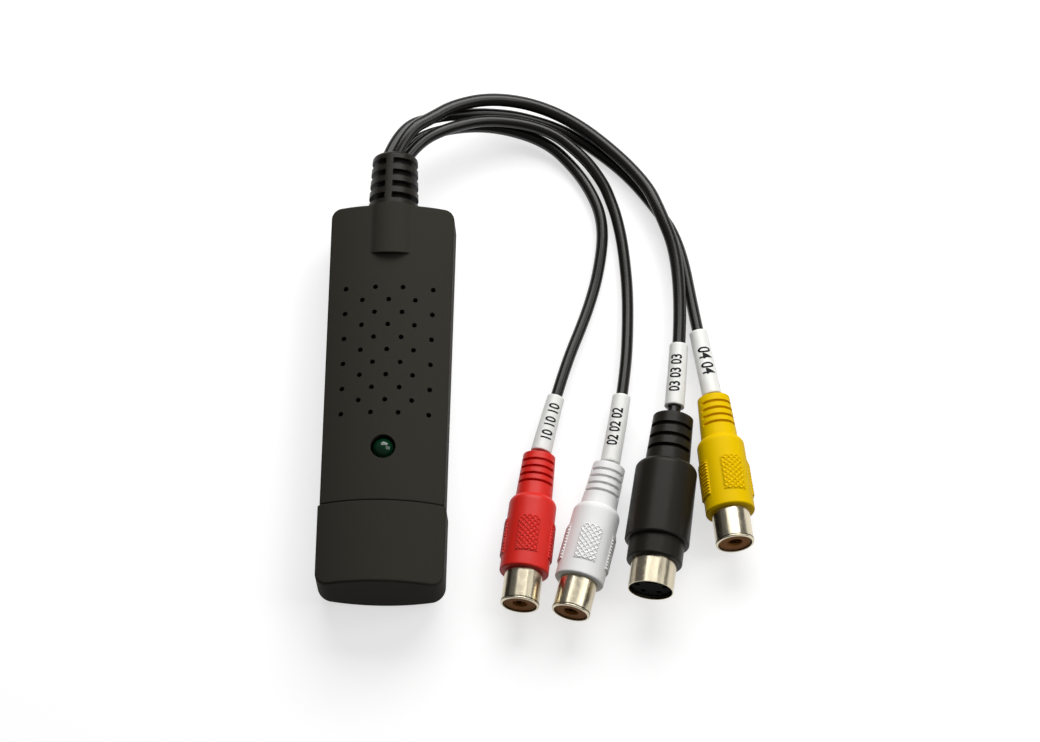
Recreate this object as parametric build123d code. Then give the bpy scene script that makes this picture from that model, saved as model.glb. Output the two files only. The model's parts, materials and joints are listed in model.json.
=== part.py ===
from build123d import *
import os
import math

# Video capture box with a pull-off cap over its USB plug and a four-way breakout cable.
# All sizes are in millimetres. +Y runs to the cable, +X to the right and +Z up.
# The origin lies on the table, under the middle of the box from the cap's front to the strain relief's tip.

# Lengths along the box
case_length = 88.4  # cap front to the shoulder at the cable end
relief_length = 12.6
cap_length = 18.65
seam_gap = 0.15  # between the cap and the body
cap_front_y = -(case_length + relief_length) / 2
cap_mouth_y = cap_front_y + cap_length
body_front_y = cap_mouth_y + seam_gap
shoulder_y = cap_front_y + case_length

# Cap shell: a lens-shaped section, crowned above and below
cap_width = 28.0
cap_height = 16.7
crown_radius = 28.0
cap_side_wall = 1.5
cap_end_wall = 1.6
cap_corner_radius = 3.0
long_edge_radius = 0.6
mouth_chamfer = 0.25
cap_middle_z = cap_height / 2

# Body shells: the same section, a little smaller, on the same middle height
body_step = 0.4  # from the cap's sides to the body's
body_low_step = 0.3  # from the cap's crown to the body's, above and below
body_width = cap_width - 2 * body_step
body_low = body_low_step
body_high = cap_height - body_low_step
body_wall = 1.6
rear_corner_radius = 2.2
cavity_corner_radius = 1.0
cavity_width = body_width - 2 * body_wall
cavity_low = body_low + body_wall
cavity_high = body_high - body_wall
cavity_front_y = body_front_y + body_wall
cavity_rear_y = shoulder_y - body_wall

# Parting line of the two body shells
parting_z = 10.7
tongue_thickness = 0.7
tongue_height = 0.8
tongue_side_clearance = 0.05
tongue_top_clearance = 0.1
reveal_depth = 0.3  # of the fine groove that marks the parting line
reveal_height = 0.2

# Nose: the front end of both shells, which the cap closes over
nose_length = 2.4
nose_clearance = 0.15
nose_width = cap_width - 2 * cap_side_wall - 2 * nose_clearance
nose_low = cap_side_wall + nose_clearance
nose_high = cap_height - nose_low
nose_front_y = body_front_y - nose_length
nose_chamfer = 0.3

# USB plug, type A
plug_width = 12.0
plug_height = 4.5
plug_wall = 0.3
plug_corner_radius = 0.5
plug_reach = 14.5  # tip to the body's front face
plug_depth = 6.7  # body's front face to the shield's rear end
plug_low = cap_middle_z - plug_height / 2
plug_high = plug_low + plug_height
plug_tip_y = body_front_y - plug_reach
plug_rear_y = body_front_y + plug_depth
plug_seat_clearance = 0.1
window_width = 2.0
window_length = 2.5
window_spacing = 5.2
window_setback = 5.2  # plug tip to the window's near edge
tab_length = 1.8
tab_setback = 2.5  # tab's middle to the shield's rear end
tab_drop = 1.9  # below the shield
insert_clearance = 0.05
tongue_plate = 1.95  # thickness of the plastic tongue
tongue_setback = 0.45
rear_block_length = 3.0
contact_width = 1.0
contact_sheet = 0.25
contact_pitch = 2.0
outer_contact_pitch = 2.5
contact_setback = 1.0
inner_contact_setback = 1.0  # further back than the outer pair
contact_tail = 0.7  # from the shield's rear end to the down leg
contact_foot = 0.9

# Circuit board, which carries the shield on its top face
board_top = plug_low
board_thickness = 1.2
board_side_gap = 1.5  # to the case's side wall
board_width = cavity_width - 2 * board_side_gap
board_front_clearance = 0.1
board_front_y = cavity_front_y + board_front_clearance
board_length = 56.0
board_low = board_top - board_thickness
board_rear_y = board_front_y + board_length
board_hole_diameter = 1.8
pin_diameter = 1.6
pin_rise = 0.9  # above the board
top_post_diameter = 3.4
top_post_bore = 1.8
bottom_post_diameter = 3.4
post_clearance = 0.1
post_to_plug_gap = 0.6
hole_inset = 2.0  # board edge to the middle of a fixing hole, across
hole_front_y = plug_rear_y + post_to_plug_gap + top_post_diameter / 2
hole_rear_inset = 3.5

# Snap arms of the top shell and their pockets in the bottom shell
arm_width = 4.0
arm_thickness = 1.0
arm_clearance = 0.1
arm_drop = 3.7  # below the parting line
hook_reach = 0.5
hook_height = 1.2
pocket_clearance = 0.2
arm_front_share = 0.35  # along the cavity, from its front
arm_rear_share = 0.68

# Cap rails that grip the plug's sides
rail_clearance = 0.1
rail_thickness = 0.85
rail_length = 12.4
rail_lip = 1.3
rail_lip_height = 0.8

# Vent holes
vent_diameter = 1.1
vent_pitch = 2.95
vent_rows = 11
vent_rear_inset = 19.73  # shoulder to the first row
vent_inner_share = 0.126  # of the cavity's width, from the case's middle
vent_middle_share = 0.2425
vent_outer_share = 0.4
vent_inner_offset = vent_inner_share * cavity_width
vent_middle_offset = vent_middle_share * cavity_width
vent_outer_offset = vent_outer_share * cavity_width

# Status light
light_diameter = 5.0
light_flange_diameter = 5.8
light_flange_height = 1.0
light_height = 8.6
light_top_rise = 0.25  # above the shell's crown
light_window_diameter = 5.5
light_front_inset = 12.4  # body's front face to the light's middle
light_leg = 0.5
light_leg_spacing = 2.54
light_leg_drop = 0.9  # below the board
light_leg_hole = 0.9
light_y = body_front_y + light_front_inset
light_top = body_high + light_top_rise

# Cable exit: the hump on the top shell and the strain relief that follows its curve
cable_z = 12.4
hump_radius = 5.6
hump_length = 12.0
hump_blend = 1.5
hump_bow = 0.4
hump_root_width = 10.0
hump_lip_y = shoulder_y - hump_length
relief_tip_radius = 5.0
relief_tip_round = 1.0
relief_slots = 4
relief_slot_width = 1.45
relief_slot_pitch = 2.8
relief_slot_start = 1.75
relief_core_radius = 3.8
relief_bar_width = 1.6
relief_roll = -10.0  # degrees
neck_radius = 4.0
neck_width = 7.0
neck_clearance = 0.1
flange_width = 10.5
flange_low = 6.9
flange_high = 14.2
flange_thickness = 1.5
flange_round_radius = 3.9
flange_gap = 0.05
tail_radius = 3.0
tail_length = 4.8
tail_chamfer = 0.4
lead_count = 5
lead_diameter = 0.8
lead_pitch = 1.15
lead_bend = 2.0
lead_landing = 1.8  # board's rear edge to the leads' feet

# Parts on the board: places are shares of the board's width from its middle and of its length from its front
bridge_share = (0.0, 0.36)
decoder_share = (-0.171, 0.625)
codec_share = (0.214, 0.83)
crystal_share = (0.31, 0.65)
regulator_share = (-0.262, 0.845)
capacitor_shares = ((-0.35, 0.22), (0.35, 0.22), (0.35, 0.49))
chip_height = 1.4
chip_lift = 0.1
chip_leg_reach = 1.0
chip_leg_width = 0.3
chip_leg_sheet = 0.15
bridge_size = 7.0
bridge_legs = 8
decoder_size = 7.0
decoder_legs = 8
codec_size = 5.0
codec_legs = 6
chip_leg_pitch = 0.75
crystal_length = 11.4
crystal_width = 4.7
crystal_height = 3.5
crystal_base = 0.4
crystal_rim = 0.4
regulator_length = 6.5
regulator_width = 3.5
regulator_height = 1.6
regulator_leg_reach = 1.6
regulator_leg_width = 0.75
regulator_leg_pitch = 2.3
regulator_tab_width = 3.0
regulator_sheet = 0.3
capacitor_diameter = 4.0
capacitor_height = 5.4
capacitor_base = 4.3
capacitor_base_height = 0.9
capacitor_top_round = 0.3

# Phono jacks: the moulded boot
phono_neck_length = 10.3
phono_neck_tip_radius = 3.55
phono_neck_root_radius = 4.05
phono_shoulder = 1.7
phono_grip_length = 16.0
phono_grip_rear_radius = 5.2
phono_grip_front_radius = 5.4
grip_edge_round = 0.4
slit_width = 0.65
slit_depth = 0.7
slit_count = 4
slit_start = 1.9
slit_pitch = 1.73
slit_bar_width = 2.2
pad_width = 4.9
pad_rear_margin = 4.1
pad_front_margin = 3.4
pad_rise = 0.1
knurl_rise = 0.18  # from a pad to the tips of its fine ridges, on which the boot rests
pad_corner_cut = 0.8
pad_count = 4
entry_depth = 1.2
entry_clearance = 0.2

# Phono jacks: the metal and the insulator
barrel_radius = 4.15
barrel_wall = 0.4
barrel_reach = 7.5  # mouth to the boot's front face
barrel_shoulder_gap = 0.2  # barrel's shoulder to the boot
barrel_root_radius = 3.95  # of the barrel's thinner root in the boot
barrel_depth = 6.0
barrel_clearance = 0.03
barrel_rear_gap = 0.5
barrel_rim_round = 0.2
insulator_radius = 3.7
insulator_setback = 0.35
insulator_length = 11.0
insulator_face = 0.6
centre_hole_radius = 1.65
centre_tube_wall = 0.35
centre_tube_length = 9.0
centre_tube_clearance = 0.05
centre_tube_back = 0.4

# S-video jack
svideo_neck_length = 11.6
svideo_neck_tip_radius = 4.45
svideo_neck_root_radius = 4.95
svideo_shoulder = 1.5
svideo_grip_length = 17.0
svideo_grip_rear_radius = 6.8
svideo_grip_front_radius = 7.1
svideo_collar_radius = 6.1
svideo_collar_length = 4.8
groove_width = 0.95
groove_count = 3
groove_start = 2.9
groove_pitch = 2.7
groove_depth = 0.8
shell_radius = 4.975
shell_wall = 0.2
shell_reach = 6.4
shell_depth = 7.0
shell_clearance = 0.03
svideo_insert_radius = 4.35
svideo_insert_setback = 0.8
svideo_insert_length = 10.5
svideo_base_length = 4.0
svideo_base_clearance = 0.05
svideo_face = 1.0
svideo_pin_hole_radius = 0.6
svideo_tube_radius = 0.8
svideo_tube_bore = 0.55
svideo_tube_length = 6.0
svideo_pin_shares = ((-0.69, 0.16), (0.69, 0.16), (-0.39, -0.51), (0.39, -0.51))  # of the insert's radius
key_width = 2.4
key_height = 1.0
key_rise = 2.5

# Where the jacks lie: the middle of each mouth on the table plane, and the angles in degrees
red_mouth = (30.28, -52.22)
red_yaw = -5.21
red_roll = 2.5
white_mouth = (41.35, -53.83)
white_yaw = -12.22
white_roll = 5.0
yellow_mouth = (76.71, -37.73)
yellow_yaw = 8.67
yellow_roll = 19.0
svideo_mouth = (58.61, -49.15)
svideo_yaw = -5.69
svideo_roll = 0.0
flat_tilt = 4.0
svideo_tilt = 4.5
yellow_tilt = 6.0
rest_clearance = 0.02

# Cords: each route is a list of points from the strain relief to the boot
phono_cord_diameter = 2.6
svideo_cord_diameter = 2.9
corner_share = 0.45  # of the shorter run beside a corner
yellow_route = [
    (-2.1, 49.9, 12.4),
    (0.6, 58.4, 11.8),
    (8.7, 62.4, 9.2),
    (15.5, 63.7, 7.7),
    (20.3, 64.4, 6.4),
    (27.1, 64.5, 4.6),
    (37.4, 62.1, 2.4),
    (46.9, 55.6, 1.4),
    (52.1, 50.8, 1.4),
    (56.4, 45.6, 1.4),
    (63.1, 36.5, 1.4),
    (67.1, 16.3, 1.8),
    (71.4, -3.1, 3.9),
]
svideo_route = [
    (0.0, 49.9, 14.4),
    (2.6, 56.2, 15.2),
    (8.1, 60.6, 12.9),
    (12.5, 64.2, 11.2),
    (20.3, 67.1, 8.9),
    (29.9, 67.1, 6.0),
    (39.5, 63.3, 4.5),
    (48.9, 55.7, 4.3),
    (55.7, 48.2, 4.5),
    (58.6, 42.1, 4.9),
    (63.0, 31.4, 3.9),
    (64.0, 10.8, 4.2),
    (62.6, -9.1, 5.8),
]
white_route = [
    (2.1, 49.9, 12.4),
    (4.7, 54.5, 12.2),
    (11.5, 59.0, 10.9),
    (20.6, 62.3, 8.4),
    (33.3, 61.3, 5.6),
    (41.4, 55.4, 3.5),
    (45.9, 49.7, 2.0),
    (47.7, 45.5, 1.5),
    (49.2, 41.2, 1.4),
    (50.8, 33.8, 1.4),
    (52.2, 20.7, 1.5),
    (51.9, 0.2, 3.1),
    (48.8, -19.5, 4.5),
]
red_route = [
    (0.0, 49.9, 10.5),
    (1.8, 53.7, 9.6),
    (5.8, 57.8, 9.4),
    (14.9, 61.1, 7.0),
    (23.6, 61.6, 4.8),
    (33.1, 59.1, 2.8),
    (39.2, 53.6, 1.6),
    (43.3, 47.6, 1.4),
    (45.8, 41.3, 1.4),
    (46.1, 33.7, 1.4),
    (44.0, 21.1, 1.4),
    (37.3, 1.7, 3.1),
    (33.4, -17.9, 4.5),
]

# Printed sleeves on the cords
sleeve_clearance = 0.1
sleeve_length = 15.0
white_sleeve_length = 16.4
yellow_sleeve_length = 16.0
red_sleeve_length = 13.7
sleeve_boot_radius = 2.2
sleeve_far_radius = 2.0
red_sleeve_boot_radius = 2.3
red_sleeve_far_radius = 1.9
svideo_sleeve_far_radius = 2.05
sleeve_gap = 0.15
red_sleeve_gap = 1.0
svideo_sleeve_gap = 2.8

overrun = 1.0  # of every cut past the face that it opens

os.makedirs("parts", exist_ok=True)


def save(shape, node):
    export_step(shape, f"parts/{node}.step")


def block(x_span, y_span, z_span):
    """Box between three pairs of limits."""
    size = [high - low for low, high in (x_span, y_span, z_span)]
    middle = [(high + low) / 2 for low, high in (x_span, y_span, z_span)]
    return Pos(*middle) * Box(*size)


def lens_section(width, low, high, crown):
    """Section with upright sides and a crowned top and bottom."""
    half = width / 2
    drop = crown - math.sqrt(crown**2 - half**2)
    top = ThreePointArc((-half, high - drop), (0, high), (half, high - drop))
    right = Line((half, high - drop), (half, low + drop))
    bottom = ThreePointArc((half, low + drop), (0, low), (-half, low + drop))
    left = Line((-half, low + drop), (-half, high - drop))
    return make_face([top, right, bottom, left])


def along_y(section, y_from, y_to):
    """Runs a section, drawn in X and Z, along Y."""
    return Pos(0, y_to, 0) * extrude(Plane.XZ * section, amount=y_to - y_from)


def spin_y(points, round_corners=()):
    """Turns an outline of (radius, y) points about the Y axis, with chosen corners rounded."""
    face = make_face(Polyline(*points, close=True))
    for place, radius in round_corners:
        corner = face.vertices().sort_by_distance(Vector(*place))[0]
        face = fillet(corner, radius)
    return revolve(face, Axis.Y)


def upright_edges(solid):
    return solid.edges().filter_by(Axis.Z)


def rounded_lens(width, low, high, y_from, y_to, corner, square_end):
    """Lens-shaped bar with round corners and rims at one end and a flat, sharp face at the other."""
    bar = along_y(lens_section(width, low, high, crown_radius), y_from, y_to)
    far = -1 if square_end == y_from else 0
    bar = fillet(upright_edges(bar).group_by(Axis.Y)[far], corner)
    rims = [
        edge
        for edge in bar.edges() - upright_edges(bar)
        if abs(edge.center().Y - square_end) > mouth_chamfer
    ]
    return fillet(rims, long_edge_radius)


# Case shells


def end_rim(solid, y):
    """Edges of the flat end face at y."""
    return [edge for edge in solid.edges() if abs(edge.center().Y - y) < mouth_chamfer / 2]


def cap():
    shell = rounded_lens(
        cap_width, 0, cap_height, cap_front_y, cap_mouth_y, cap_corner_radius, cap_mouth_y
    )
    shell = chamfer(end_rim(shell, cap_mouth_y), mouth_chamfer)
    outside = shell
    inner_front_y = cap_front_y + cap_end_wall
    inner = lens_section(
        cap_width - 2 * cap_side_wall,
        cap_side_wall,
        cap_height - cap_side_wall,
        crown_radius - cap_side_wall,
    )
    hollow = along_y(inner, inner_front_y, cap_mouth_y + overrun)
    hollow = fillet(upright_edges(hollow).group_by(Axis.Y)[0], cap_corner_radius - cap_side_wall)
    shell -= hollow
    rail_inner = plug_width / 2 + rail_clearance
    web = Pos(rail_inner + rail_thickness / 2, cap_middle_z) * Rectangle(rail_thickness, cap_height)
    lip_z = plug_height / 2 + rail_clearance + rail_lip_height / 2
    lip_x = rail_inner - rail_lip / 2
    lips = [
        Pos(lip_x, cap_middle_z + side * lip_z) * Rectangle(rail_lip, rail_lip_height)
        for side in (-1, 1)
    ]
    rail = along_y(
        web + lips, inner_front_y - cap_end_wall / 2, inner_front_y + rail_length
    )
    for piece in (rail, mirror(rail, Plane.YZ)):
        shell += piece & outside
    return shell


def body_outside():
    """Outer form of both body shells together, with the hump over the cable exit."""
    body = rounded_lens(
        body_width,
        body_low,
        body_high,
        body_front_y,
        shoulder_y,
        rear_corner_radius,
        body_front_y,
    )
    body = chamfer(end_rim(body, body_front_y), mouth_chamfer)
    crown = lens_section(body_width, body_low, body_high, crown_radius)
    hump = crown + Pos(0, cable_z) * Circle(hump_radius)
    inner_corners = [
        corner
        for corner in hump.vertices()
        if corner.Y > cable_z and abs(corner.X) < hump_radius
    ]
    hump = fillet(inner_corners, hump_blend)
    hump &= Pos(0, cable_z + hump_radius) * Rectangle(hump_root_width, 2 * hump_radius)
    lip_half = math.sqrt(hump_radius**2 - (body_high - cable_z) ** 2)
    bow_radius = (lip_half**2 + hump_bow**2) / (2 * hump_bow)
    bow = Pos(0, hump_lip_y + bow_radius, cable_z) * Cylinder(bow_radius, 4 * hump_radius)
    return body + (along_y(hump, hump_lip_y, shoulder_y) & bow)


def nose():
    """Front end that the cap closes over."""
    section = lens_section(nose_width, nose_low, nose_high, crown_radius - nose_low)
    solid = along_y(section, nose_front_y, body_front_y + body_wall / 2)
    return chamfer(end_rim(solid, nose_front_y), nose_chamfer)


def plan_outline(grow):
    """Cavity outline in plan, grown by the same amount all round."""
    width = cavity_width + 2 * grow
    length = cavity_rear_y - cavity_front_y + 2 * grow
    outline = RectangleRounded(width, length, cavity_corner_radius + grow)
    return Pos(0, (cavity_front_y + cavity_rear_y) / 2) * outline


def ring_between(inner_grow, outer_grow, z_from, z_to):
    ring = plan_outline(outer_grow) - plan_outline(inner_grow)
    return Pos(0, 0, z_from) * extrude(ring, amount=z_to - z_from)


def cavity():
    section = lens_section(cavity_width, cavity_low, cavity_high, crown_radius - body_wall)
    main = along_y(section, cavity_front_y, cavity_rear_y)
    return fillet(upright_edges(main), cavity_corner_radius)


def neck_section(clearance):
    """Round section with a flat on each side, which keeps the strain relief from turning."""
    disc = Circle(neck_radius + clearance)
    return Pos(0, cable_z) * (disc & Rectangle(neck_width + 2 * clearance, 4 * neck_radius))


def relief_opening():
    return along_y(neck_section(neck_clearance), cavity_rear_y - overrun, shoulder_y + overrun)


def plug_slot():
    half = plug_width / 2 + plug_seat_clearance
    y_span = (nose_front_y - overrun, cavity_front_y + overrun)
    return block((-half, half), y_span, (plug_low - plug_seat_clearance, parting_z))


def fixing_places():
    """Middles of the board's fixing holes."""
    x = board_width / 2 - hole_inset
    return [
        (side * x, y)
        for side in (-1, 1)
        for y in (hole_front_y, board_rear_y - hole_rear_inset)
    ]


def column(x, y, z_from, z_to, diameter):
    return Pos(x, y, (z_from + z_to) / 2) * Cylinder(diameter / 2, z_to - z_from)


def arm_places():
    length = cavity_rear_y - cavity_front_y
    return [
        (side, cavity_front_y + share * length)
        for side in (-1, 1)
        for share in (arm_front_share, arm_rear_share)
    ]


def snap_arm(side, y):
    """Arm that hangs from the top shell's corner and hooks under the bottom shell's wall."""
    wall_x = cavity_width / 2
    outer_x = wall_x - arm_clearance
    y_span = (y - arm_width / 2, y + arm_width / 2)
    low = parting_z - arm_drop
    root = parting_z + tongue_height + 2 * tongue_top_clearance
    arm = block((outer_x - arm_thickness, outer_x), y_span, (low, cavity_high))
    arm += block((outer_x, wall_x + body_wall / 2), y_span, (root, cavity_high))
    hook = Polyline(
        (outer_x, low),
        (outer_x + hook_reach, low + hook_height / 2),
        (outer_x + hook_reach, low + hook_height),
        (outer_x, low + hook_height),
        close=True,
    )
    arm += along_y(make_face(hook), *y_span)
    return arm if side > 0 else mirror(arm, Plane.YZ)


def pocket(side, y):
    wall_x = cavity_width / 2
    reach = hook_reach - arm_clearance + pocket_clearance
    y_half = arm_width / 2 + pocket_clearance
    low = parting_z - arm_drop - pocket_clearance
    high = parting_z - arm_drop + hook_height + pocket_clearance
    cut = block((wall_x - overrun, wall_x + reach), (y - y_half, y + y_half), (low, high))
    return cut if side > 0 else mirror(cut, Plane.YZ)


def vent_places():
    places = []
    for row in range(vent_rows):
        y = shoulder_y - vent_rear_inset - row * vent_pitch
        if row % 2 == 0:
            offsets = [side * x for side in (-1, 1) for x in (vent_inner_offset, vent_outer_offset)]
        else:
            offsets = [-vent_middle_offset, 0, vent_middle_offset]
        places += [(x, y) for x in offsets]
    return places


def top_shell():
    far = case_length
    above = block((-far, far), (-far, far), (parting_z, far))
    shell = (body_outside() + nose()) & above
    posts = [
        column(x, y, board_top + post_clearance, cavity_high, top_post_diameter)
        for x, y in fixing_places()
    ]
    arms = [snap_arm(side, y) for side, y in arm_places()]
    inside = body_outside()
    hump_hollow = Pos(0, cable_z) * Circle(hump_radius - body_wall)
    shell -= cavity()
    shell -= along_y(hump_hollow, hump_lip_y + body_wall, cavity_rear_y)
    rebate = tongue_thickness + tongue_side_clearance
    rebate_top = parting_z + tongue_height + tongue_top_clearance
    shell -= ring_between(0, rebate, parting_z - overrun, rebate_top)
    shell += [piece & inside for piece in posts + arms]
    shell -= [
        column(x, y, board_low, cavity_high - body_wall / 2, top_post_bore)
        for x, y in fixing_places()
    ]
    groove_top = parting_z + reveal_height
    outer_grow = body_wall + overrun
    groove = ring_between(body_wall - reveal_depth, outer_grow, parting_z - overrun, groove_top)
    groove &= block((-far, far), (body_front_y + mouth_chamfer, far), (0, far))
    shell -= groove
    shell -= relief_opening()
    shell -= column(0, light_y, parting_z, body_high + overrun, light_window_diameter)
    shell -= [column(x, y, parting_z, body_high + overrun, vent_diameter) for x, y in vent_places()]
    return shell


def bottom_shell():
    far = case_length
    below = block((-far, far), (-far, far), (-far, parting_z))
    shell = ((body_outside() + nose()) & below) - cavity()
    shell += ring_between(0, tongue_thickness, parting_z - tongue_height, parting_z + tongue_height)
    floor_posts = [
        column(x, y, body_low, board_low, bottom_post_diameter) for x, y in fixing_places()
    ]
    pins = [
        column(x, y, body_low, board_top + pin_rise, pin_diameter) for x, y in fixing_places()
    ]
    shell += [piece & body_outside() for piece in floor_posts + pins]
    shell -= plug_slot()
    slot_half = plug_width / 2 + plug_seat_clearance
    front_wall = (nose_front_y - overrun, cavity_front_y + overrun)
    tongue_top = parting_z + tongue_height + overrun
    shell -= block((-slot_half, slot_half), front_wall, (parting_z, tongue_top))
    shell -= relief_opening()
    shell -= [pocket(side, y) for side, y in arm_places()]
    return shell


# USB plug


def plug_section(width, height, radius):
    return Pos(0, cap_middle_z) * RectangleRounded(width, height, radius)


def usb_shield():
    inner_radius = plug_corner_radius - plug_wall
    outer = plug_section(plug_width, plug_height, plug_corner_radius)
    inner = plug_section(plug_width - 2 * plug_wall, plug_height - 2 * plug_wall, inner_radius)
    shield = along_y(outer - inner, plug_tip_y, plug_rear_y)
    window_y = (plug_tip_y + window_setback, plug_tip_y + window_setback + window_length)
    for side in (-1, 1):
        x = side * window_spacing / 2
        x_span = (x - window_width / 2, x + window_width / 2)
        shield -= block(x_span, window_y, (plug_low - overrun, plug_high + overrun))
    tab_y = plug_rear_y - tab_setback
    for side in (-1, 1):
        x = side * (plug_width - plug_wall) / 2
        x_span = (x - plug_wall / 2, x + plug_wall / 2)
        y_span = (tab_y - tab_length / 2, tab_y + tab_length / 2)
        shield += block(x_span, y_span, (plug_low - tab_drop, plug_low + plug_corner_radius))
    return shield


def contact_places():
    """X of each contact's middle and the y of its front end."""
    front = plug_tip_y + tongue_setback
    inner_x = contact_pitch / 2
    outer_x = inner_x + outer_contact_pitch
    return [
        (side * x, front + setback)
        for side in (-1, 1)
        for x, setback in (
            (inner_x, contact_setback + inner_contact_setback),
            (outer_x, contact_setback),
        )
    ]


def tongue_top_z():
    return plug_low + plug_wall + tongue_plate


def usb_tongue():
    half = plug_width / 2 - plug_wall - insert_clearance
    low = plug_low + plug_wall
    high = plug_high - plug_wall - insert_clearance
    tongue = block((-half, half), (plug_tip_y + tongue_setback, plug_rear_y), (low, tongue_top_z()))
    y_span = (plug_rear_y - rear_block_length, plug_rear_y)
    tongue += block((-half, half), y_span, (low, high))
    channel_top = tongue_top_z() + contact_sheet + insert_clearance
    for x, front in contact_places():
        x_span = (x - contact_width / 2 - insert_clearance, x + contact_width / 2 + insert_clearance)
        tongue -= block(x_span, (front, plug_rear_y + overrun), (tongue_top_z(), channel_top))
    section_corners = tongue.edges().filter_by(Axis.Y).group_by(Axis.Z)[0]
    return fillet(section_corners, plug_corner_radius - plug_wall)


def usb_contacts():
    """Four strips along the tongue, each bent down behind the block to a foot on the board."""
    strips = []
    low = tongue_top_z()
    leg_y = plug_rear_y + contact_tail
    for x, front in contact_places():
        outline = Polyline(
            (front, low),
            (front, low + contact_sheet),
            (leg_y, low + contact_sheet),
            (leg_y, board_top + contact_sheet),
            (leg_y + contact_foot, board_top + contact_sheet),
            (leg_y + contact_foot, board_top),
            (leg_y - contact_sheet, board_top),
            (leg_y - contact_sheet, low),
            close=True,
        )
        strip = extrude(Plane.YZ * make_face(outline), amount=contact_width)
        strips.append(Pos(x - contact_width / 2, 0, 0) * strip)
    return Compound(children=strips)


# Circuit board and what stands on it


def circuit_board():
    y_span = (board_front_y, board_rear_y)
    board = block((-board_width / 2, board_width / 2), y_span, (board_low, board_top))
    cut = (board_low - overrun, board_top + overrun)
    board -= [column(x, y, *cut, board_hole_diameter) for x, y in fixing_places()]
    board -= [
        column(side * light_leg_spacing / 2, light_y, *cut, light_leg_hole) for side in (-1, 1)
    ]
    tab_y = plug_rear_y - tab_setback
    half_length = tab_length / 2 + plug_seat_clearance
    half_width = plug_wall / 2 + plug_seat_clearance
    for side in (-1, 1):
        x = side * (plug_width - plug_wall) / 2
        x_span = (x - half_width, x + half_width)
        board -= block(x_span, (tab_y - half_length, tab_y + half_length), cut)
    return board


def on_board(share, shape):
    """Stands a shape, drawn on z = 0, on the board at shares of its width and length."""
    x_share, y_share = share
    return Pos(x_share * board_width, board_front_y + y_share * board_length, board_top) * shape


def flat_chip(size, legs):
    """Square chip with a row of bent legs on each side."""
    body = block((-size / 2, size / 2), (-size / 2, size / 2), (chip_lift, chip_height))
    middle = (chip_lift + chip_height) / 2
    knee = size / 2 + chip_leg_reach / 3
    toe = size / 2 + chip_leg_reach
    heel = size / 2 + chip_leg_reach / 2
    outline = Polyline(
        (size / 2 - chip_leg_sheet, middle),
        (size / 2 - chip_leg_sheet, middle + chip_leg_sheet),
        (knee, middle + chip_leg_sheet),
        (heel, chip_leg_sheet),
        (toe, chip_leg_sheet),
        (toe, 0),
        (heel - chip_leg_sheet, 0),
        (knee - chip_leg_sheet, middle),
        close=True,
    )
    leg = extrude(Plane.XZ * make_face(outline), amount=chip_leg_width / 2, both=True)
    row = [
        Pos(0, (place - (legs - 1) / 2) * chip_leg_pitch, 0) * leg for place in range(legs)
    ]
    return body + [Rot(0, 0, quarter) * piece for quarter in (0, 90, 180, 270) for piece in row]


def crystal():
    can_length = crystal_length - 2 * crystal_rim
    can_width = crystal_width - 2 * crystal_rim
    can = extrude(SlotOverall(can_length, can_width), amount=crystal_height)
    can = fillet(can.faces().sort_by(Axis.Z)[-1].edges(), crystal_rim)
    base = extrude(SlotOverall(crystal_length, crystal_width), amount=crystal_base)
    return on_board(crystal_share, Rot(0, 0, 90) * (can + base))


def regulator():
    half_length = regulator_length / 2
    half_width = regulator_width / 2
    body = block((-half_length, half_length), (-half_width, half_width), (0, regulator_height))
    reach = half_width + regulator_leg_reach
    for place in (-1, 0, 1):
        x = place * regulator_leg_pitch
        x_span = (x - regulator_leg_width / 2, x + regulator_leg_width / 2)
        body += block(x_span, (-reach, 0), (0, regulator_sheet))
    half_tab = regulator_tab_width / 2
    body += block((-half_tab, half_tab), (0, reach), (0, regulator_sheet))
    return on_board(regulator_share, body)


def capacitors():
    half = capacitor_base / 2
    base = block((-half, half), (-half, half), (0, capacitor_base_height))
    can = column(0, 0, 0, capacitor_height, capacitor_diameter)
    can = fillet(can.faces().sort_by(Axis.Z)[-1].edges(), capacitor_top_round)
    return Compound(children=[on_board(share, base + can) for share in capacitor_shares])


def status_led():
    """Round light with a flange at its foot and a domed top."""
    radius = light_diameter / 2
    foot = light_top - light_height
    body = column(0, light_y, foot, light_top - radius, light_diameter)
    body += column(0, light_y, foot, foot + light_flange_height, light_flange_diameter)
    return body + Pos(0, light_y, light_top - radius) * Sphere(radius)


def led_leads():
    legs = []
    half = light_leg / 2
    z_span = (board_low - light_leg_drop, light_top - light_height)
    for side in (-1, 1):
        x = side * light_leg_spacing / 2
        legs.append(block((x - half, x + half), (light_y - half, light_y + half), z_span))
    return Compound(children=legs)


# Strain relief and what it carries


def slit_rings(inner, outer, width, first_y, pitch, count, bar_width):
    """Ring cuts along Y, each left standing at two bars across X = 0."""
    ring = Rot(90, 0, 0) * (Cylinder(outer, width) - Cylinder(inner, width))
    ring -= Box(bar_width, 2 * width, 4 * outer)
    return [Pos(0, first_y + pitch * place, 0) * ring for place in range(count)]


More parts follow.
